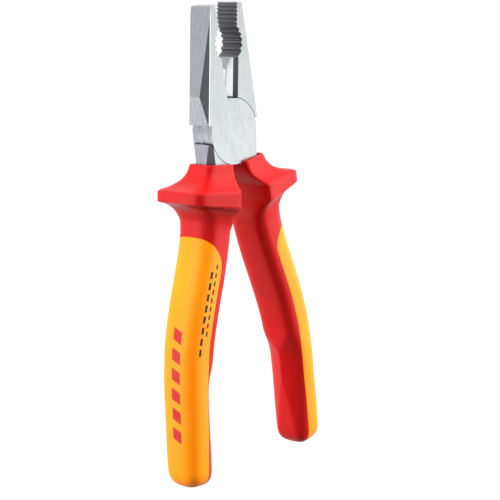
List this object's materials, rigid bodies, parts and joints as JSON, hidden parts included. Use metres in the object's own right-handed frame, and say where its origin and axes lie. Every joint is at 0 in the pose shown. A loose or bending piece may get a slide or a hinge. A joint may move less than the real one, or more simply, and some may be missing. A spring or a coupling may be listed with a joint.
{
  "type": "lineman pliers",
  "caption": "Lineman pliers with insulated two-colour grips, hand guards, a toothed jaw, a pipe-grip hollow and side cutters, on a flush lap joint.",
  "frame": {"origin": "where the pivot axis meets the flat rear face of the head", "axes": "+X across the jaws to the right jaw, +Y out of the rear face of the head, along the pivot axis, +Z along the tool towards the jaw tips"},
  "size_m": [0.0766, 0.0278, 0.18],
  "materials": {
    "forged_steel": "satin ground faces, darker teeth",
    "rivet_steel": "ground flush with the head",
    "inner_sleeve": "plain insulation, hidden",
    "red_grip": "smooth satin moulding",
    "orange_zone": "soft satin moulding"
  },
  "bodies": {
    "rear_side": {"rear_half": "forged_steel", "pivot_rivet": "rivet_steel", "left_inner_sleeve": "inner_sleeve", "left_grip": "red_grip", "left_comfort_zone": "orange_zone"},
    "front_side": {"front_half": "forged_steel", "right_inner_sleeve": "inner_sleeve", "right_grip": "red_grip", "right_comfort_zone": "orange_zone"}
  },
  "joints": [
    {"name": "jaw_pivot", "type": "hinge", "parent": "rear_side", "child": "front_side", "pos_m": [0, -0.005, 0], "axis": [0, -1, 0], "range_deg": [-13.2, 26.8]}
  ]
}
